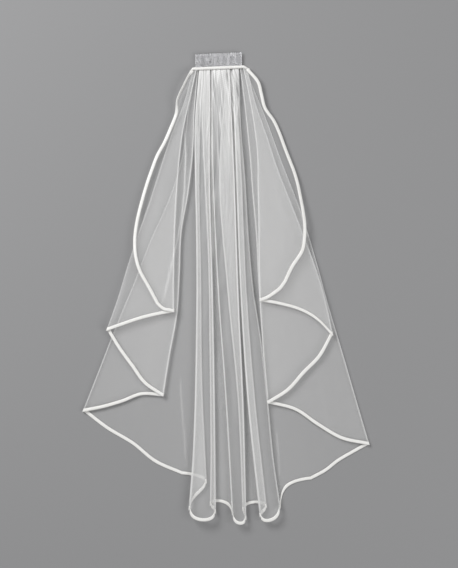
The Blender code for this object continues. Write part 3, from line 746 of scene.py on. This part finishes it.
def buildTulle():
    columns = columnList(netSheet["density"], netSheet["turnSegments"])
    inset = netSheet["hemInset"]
    taken = bindingLengths(columns, inset)
    shares = rowShares(netSheet["rows"])
    rows = [[columnVertex(c, down, inset, cut) for c, cut in zip(columns, taken)] for down in shares]
    piece = gridPiece("tulleVeil", rows)
    mesh = piece.data
    cover = mesh.attributes.new("cover", "FLOAT", "POINT")
    gathered = mesh.attributes.new("gathered", "FLOAT", "POINT")
    wide = len(columns)
    slopes = [abs(vertex.normal.z) for vertex in mesh.vertices]
    for number, slope in enumerate(slopes):
        row, column = divmod(number, wide)
        across, drop, _ = rows[row][column]
        amount, streaks = coverAt(columns[column], across, drop)
        amount = 1.0 - (1.0 - amount) ** (1.0 / max(slope, netSheet["leastSlope"]))
        cover.data[number].value = 1.0 - math.sqrt(1.0 - amount)
        gathered.data[number].value = streaks
    cut = mesh.uv_layers.new(name="cut")
    fan = mesh.uv_layers.new(name="fan")
    along = [0.0]
    for a, b in zip(rows[-1], rows[-1][1:]):
        along.append(along[-1] + math.dist(a, b) * mm)
    for loop in mesh.loops:
        row, column = divmod(loop.vertex_index, wide)
        across, drop, _ = rows[row][column]
        opened = 1.0 - netSheet["combNarrowing"] * (1.0 - shares[row])
        shifted = fanShare(across, drop) + netSheet["foldShift"] * columns[column][1]
        cut.data[loop.index].uv = (along[column] * opened, drop * mm)
        fan.data[loop.index].uv = (shifted, drop * mm)
    area = sum(face.area for face in mesh.polygons)
    print("unfolded hem", round(along[-1], 4))
    giveWall(piece, netSheet["wall"])
    piece.data.materials.append(tulle)
    print("tulle sheet", len(columns), "columns", len(rows), "rows", "area", round(area, 4))
    return piece


tulleVeil = buildTulle()
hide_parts("tulle_left_cascade", "tulle_back", "tulle_right_cascade")
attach(tulleVeil, "root")

# The ribbon binding: one strip round the whole cut edge, puckered a little by its stitches
binding = {
    "wall": 0.0008,  # metres
    "pucker": 0.3,
    "puckerEvery": 7.0,
    "crown": 0.5,
    "density": 1.7,
    "turnSegments": 8,
    "sideSteps": 190,
    "lanes": 5,
    "tuck": 1.2,  # how far the ends reach into the band, in steps
}


def bindingStations():
    columns = columnList(binding["density"], binding["turnSegments"])
    width = clothLayout["ribbonWidth"]
    lengths = bindingLengths(columns, width)
    stations = []
    steps = binding["sideSteps"]
    for number in range(steps):
        stations.append(tuple(sideVertex(0, 0.0, number / steps, w) for w in (0.0, width)))
    for column, cut in zip(columns, lengths):
        stations.append((columnVertex(column, 1.0, 0.0, 0.0), columnVertex(column, 1.0, width, cut)))
    for number in range(steps - 1, -1, -1):
        stations.append(tuple(sideVertex(lastStretch, 1.0, number / steps, w) for w in (0.0, width)))
    return [tucked(stations[0], stations[1])] + stations + [tucked(stations[-1], stations[-2])]


# the ribbon's ends reach a little way into the band
def tucked(first, second):
    return tuple(tuple(a + (a - b) * binding["tuck"] for a, b in zip(point, beyond))
                 for point, beyond in zip(first, second))


def buildBinding():
    stations = bindingStations()
    run = [0.0]
    for (a, _), (b, _) in zip(stations, stations[1:]):
        run.append(run[-1] + math.dist(a, b))
    rows = []
    for lane in range(binding["lanes"] + 1):
        share = lane / binding["lanes"]
        line = []
        for spot, (outer, inner) in zip(run, stations):
            point = [o + (i - o) * share for o, i in zip(outer, inner)]
            ripple = noise.noise(Vector((spot / binding["puckerEvery"], share * 1.5, 0.0)))
            point[2] += ripple * binding["pucker"] + math.sin(math.pi * share) * binding["crown"]
            line.append(tuple(point))
        rows.append(line)
    piece = gridPiece("ribbonBinding", rows[::-1])
    giveWall(piece, binding["wall"])
    piece.data.materials.append(satin)
    return piece, rows


ribbonBinding, bindingRows = buildBinding()
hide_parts("ribbon_left", "ribbon_hem", "ribbon_right")
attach(ribbonBinding, "root")
print("binding", 2 * len(ribbonBinding.data.polygons), "triangles")

# The stitches that hold the ribbon, in a row near its inner edge
sewing = {
    "length": 2.6,
    "every": 4.2,
    "thread": 0.34,
    "lane": 4,
    "lift": 0.42,
    "colour": (0.9, 0.895, 0.88),
}


def buildStitches():
    line = bindingRows[sewing["lane"]]
    radius = sewing["thread"] / 2 * mm
    shape = bmesh.new()
    run, due = 0.0, sewing["every"]
    for first, second in zip(line, line[1:]):
        run += math.dist(first, second)
        if run < due:
            continue
        due = run + sewing["every"]
        start, end = place(*first), place(*second)
        turn = (end - start).to_track_quat("Z", "Y").to_matrix().to_4x4()
        spot = Matrix.Translation(end + Vector((0.0, 0.0, sewing["lift"] * mm)))
        bmesh.ops.create_cone(shape, cap_ends=True, segments=6, radius1=radius, radius2=radius,
                              depth=sewing["length"] * mm, matrix=spot @ turn)
    mesh = bpy.data.meshes.new("bindingStitches")
    shape.to_mesh(mesh)
    shape.free()
    piece = bpy.data.objects.new("bindingStitches", mesh)
    bpy.context.scene.collection.objects.link(piece)
    piece.data.materials.append(satinMaterial("thread", sewing["colour"], sewing["colour"]))
    return piece


stitches = buildStitches()
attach(stitches, "root")
print("stitches", len(stitches.data.polygons), "faces")

# The header band: satin shirred onto the comb, its ends running into the side ribbons
band = {
    "left": -48.5,
    "right": 51.4,
    "top": -0.9,
    "low": 4.1,
    "height": 8.2,
    "stations": 420,
    "sides": 16,
    "endDroop": 4.6,
    "leftEnd": 6.0,  # length of each end that runs into the ribbon
    "rightEnd": 11.0,
    "shirr": 0.36,
    "shirrEvery": (0.45, 1.1),  # coarse and fine ripples, in turns a millimetre
}


def bandPoint(across, angle):
    full = smooth((across - band["left"]) / band["leftEnd"])
    full *= smooth((band["right"] - across) / band["rightEnd"])
    coarse, fine = band["shirrEvery"]
    shirr = noise.noise(Vector((across * coarse, 0.0, 3.0)))
    shirr += 0.6 * noise.noise(Vector((across * fine, 5.0, 0.0)))
    middle = (band["top"] + band["low"]) / 2.0 + band["endDroop"] * (1.0 - full)
    half = (band["low"] - band["top"]) / 2.0 * (0.7 + 0.3 * full) + band["shirr"] * shirr * full
    tall = band["height"] / 2.0
    x, z = math.cos(angle), math.sin(angle)
    x = math.copysign(abs(x) ** 0.6, x)
    z = math.copysign(abs(z) ** 0.7, z)
    level = tall + z * tall * (0.55 + 0.43 * full) + band["shirr"] * shirr * max(z, 0.0)
    return (across, middle + x * half + clothLayout["combTilt"] * across, max(level, 0.05))


def buildBand():
    last = band["stations"] - 1.0
    length = band["right"] - band["left"]
    stations = [band["left"] + length * number / last for number in range(band["stations"])]
    rows = []
    for side in range(band["sides"] + 1):
        angle = 2.0 * math.pi * side / band["sides"]
        rows.append([bandPoint(across, angle) for across in stations])
    piece = gridPiece("headerBand", rows)
    shape = bmesh.new()
    shape.from_mesh(piece.data)
    bmesh.ops.remove_doubles(shape, verts=shape.verts, dist=0.00002)
    openEdges = [edge for edge in shape.edges if edge.is_boundary]
    bmesh.ops.holes_fill(shape, edges=openEdges, sides=0)
    bmesh.ops.recalc_face_normals(shape, faces=shape.faces)
    shape.to_mesh(piece.data)
    shape.free()
    piece.data.materials.append(satin)
    return piece


headerBand = buildBand()
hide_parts("header_band")
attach(headerBand, "root")
print("header band done")

# The comb keeps its CAD wire and gets a plated finish
wireLook = {
    "bright": (0.52, 0.52, 0.53),
    "dull": (0.17, 0.17, 0.18),
    "patches": 130.0,
    "roughness": (0.2, 0.32),
}


def wireMaterial():
    material, nodes, links, shader = newMaterial("platedWire")
    spot = nodes.new("ShaderNodeTexCoord")
    patch = nodes.new("ShaderNodeTexNoise")
    patch.inputs["Scale"].default_value = wireLook["patches"]
    patch.inputs["Detail"].default_value = 1.0
    links.new(spot.outputs["Object"], patch.inputs["Vector"])
    blend = nodes.new("ShaderNodeMix")
    blend.data_type = "RGBA"
    blend.inputs[6].default_value = (*wireLook["dull"], 1.0)
    blend.inputs[7].default_value = (*wireLook["bright"], 1.0)
    links.new(patch.outputs["Fac"], blend.inputs[0])
    links.new(blend.outputs[2], shader.inputs["Base Color"])
    rough = nodes.new("ShaderNodeMapRange")
    rough.inputs["To Min"].default_value = wireLook["roughness"][0]
    rough.inputs["To Max"].default_value = wireLook["roughness"][1]
    links.new(patch.outputs["Fac"], rough.inputs["Value"])
    links.new(rough.outputs[0], shader.inputs["Roughness"])
    shader.inputs["Metallic"].default_value = 1.0
    return material


wire = wireMaterial()
for nodeName in ("comb_teeth", "comb_spine"):
    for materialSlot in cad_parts[nodeName].material_slots:
        materialSlot.material = wire

# Floor, light and camera
studio = {
    "floor": (0.31, 0.31, 0.315),
    "floorDrop": 0.0002,
    "floorRoughness": 0.9,
    "world": 0.33,
    "keyPower": 52.0,
    "keySize": (1.6, 1.0),
    "keySpot": (-1.5, 1.4, 1.7),
    "fillPower": 24.0,
    "fillSize": (1.8, 1.4),
    "fillSpot": (1.9, -0.9, 1.6),
}


def buildFloor():
    mesh = bpy.data.meshes.new("floor")
    shape = bmesh.new()
    bmesh.ops.create_grid(shape, x_segments=1, y_segments=1, size=3.0)
    bmesh.ops.translate(shape, verts=shape.verts, vec=(0.0, 0.0, -studio["floorDrop"]))
    shape.to_mesh(mesh)
    shape.free()
    floor = bpy.data.objects.new("floor", mesh)
    bpy.context.scene.collection.objects.link(floor)
    material, _, _, shader = newMaterial("floorPaper")
    shader.inputs["Base Color"].default_value = (*studio["floor"], 1.0)
    shader.inputs["Roughness"].default_value = studio["floorRoughness"]
    shader.inputs["Specular IOR Level"].default_value = 0.1
    mesh.materials.append(material)


# a soft light that looks at the middle of the floor
def areaLight(name, power, size, spot):
    data = bpy.data.lights.new(name, "AREA")
    data.energy = power
    data.shape = "RECTANGLE"
    data.size, data.size_y = size
    light = bpy.data.objects.new(name, data)
    light.location = spot
    light.rotation_euler = (-Vector(spot)).to_track_quat("-Z", "Y").to_euler()
    bpy.context.scene.collection.objects.link(light)


buildFloor()
areaLight("keyLight", studio["keyPower"], studio["keySize"], studio["keySpot"])
areaLight("fillLight", studio["fillPower"], studio["fillSize"], studio["fillSpot"])
world = bpy.data.worlds.new("softRoom")
world.use_nodes = True
background = world.node_tree.nodes["Background"]
background.inputs[0].default_value = (1.0, 1.0, 1.0, 1.0)
background.inputs[1].default_value = studio["world"]
bpy.context.scene.world = world
bpy.context.scene.cycles.transparent_max_bounces = 96  # the net lies up to ten walls deep
bpy.context.scene.view_settings.view_transform = "Standard"
print("studio ready")

# The camera looks straight down and sees frameTall metres of the floor
cameraSetup = {"lens": 85.0, "sensor": 36.0, "frameTall": 0.947, "right": 0.005, "up": 0.0075}
cameraData = bpy.data.cameras.new("camera")
cameraData.lens = cameraSetup["lens"]
cameraData.sensor_width = cameraSetup["sensor"]
camera = bpy.data.objects.new("camera", cameraData)
cameraHeight = cameraSetup["lens"] * cameraSetup["frameTall"] / cameraSetup["sensor"]
camera.location = (cameraSetup["right"], cameraSetup["up"], cameraHeight)
bpy.context.scene.collection.objects.link(camera)
bpy.context.scene.camera = camera
